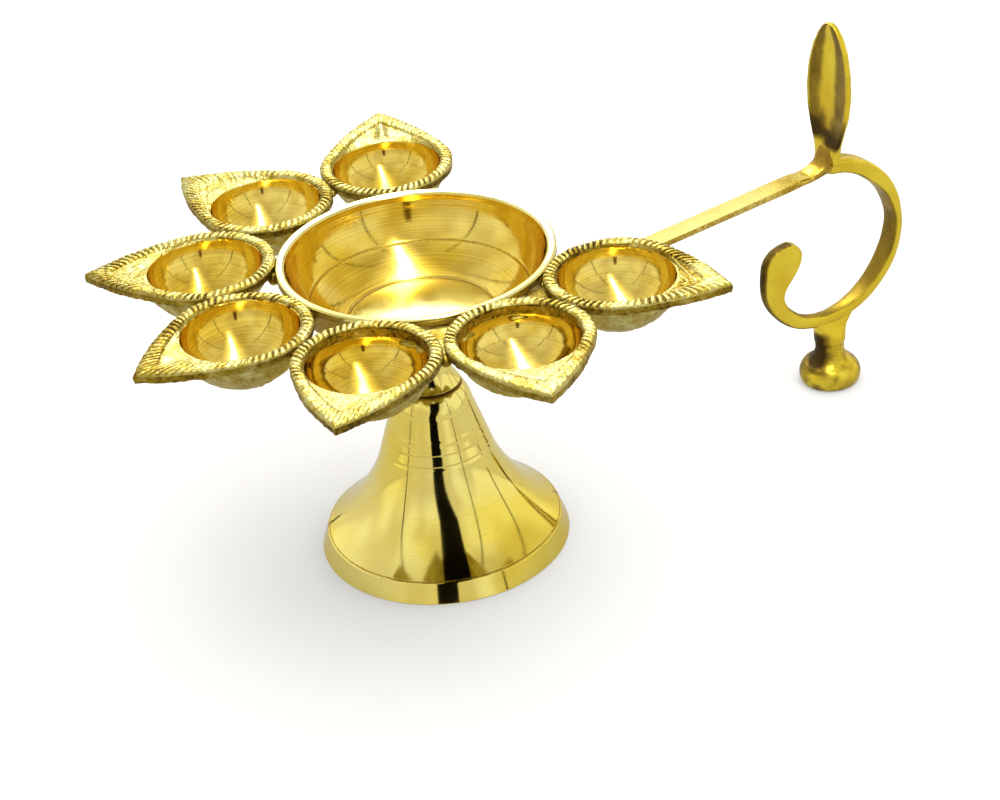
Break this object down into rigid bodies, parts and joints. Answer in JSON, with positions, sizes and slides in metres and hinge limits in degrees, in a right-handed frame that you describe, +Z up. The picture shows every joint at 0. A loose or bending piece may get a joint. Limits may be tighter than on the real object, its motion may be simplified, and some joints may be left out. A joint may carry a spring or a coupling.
{
  "type": "brass aarti oil lamp",
  "caption": "Brass aarti lamp: a turned oil bowl ringed by leaf-shaped wick cups, on a bell foot, with a flat side handle ending in a thumb leaf and a scrolled finger loop.",
  "frame": {"origin": "centre of the bell foot's ring, on the surface the lamp stands on", "axes": "+Z up along the bell and stud, +X from the lamp's axis out along the handle"},
  "size_m": [0.2481, 0.1682, 0.1158],
  "materials": {
    "polished_brass": "mirror polished",
    "turned_brass": "turned and polished, fine concentric lines",
    "plain_brass": "machined",
    "cast_brass": "satin, filed casting with dark patina in the corners",
    "rough_cast_brass": "rough sand cast outside, turned bright inside"
  },
  "bodies": {
    "stand": {"bell_base": "polished_brass"},
    "collar": {"neck_collar": "polished_brass"},
    "head": {"centre_stud": "plain_brass", "central_bowl": "turned_brass", "wick_cup_1": "rough_cast_brass", "wick_cup_2": "rough_cast_brass", "wick_cup_3": "rough_cast_brass", "wick_cup_4": "rough_cast_brass", "wick_cup_5": "rough_cast_brass", "wick_cup_6": "rough_cast_brass", "wick_cup_7": "rough_cast_brass", "handle_bar": "polished_brass", "thumb_leaf": "cast_brass", "handle_scroll": "cast_brass", "scroll_foot": "cast_brass"}
  },
  "joints": [
    {"name": "head_unscrew", "type": "hinge", "parent": "stand", "child": "collar", "pos_m": [0, 0, 0.0495], "axis": [0, 0, 1], "range_deg": [0, 2160]},
    {"name": "head_rise", "type": "slide", "parent": "collar", "child": "head", "axis": [0, 0, 1], "range_m": [0, 0.0075]}
  ],
  "couplings": [
    {"joint": "head_rise", "follows": "head_unscrew", "m_per_rad": 0.00019894}
  ]
}
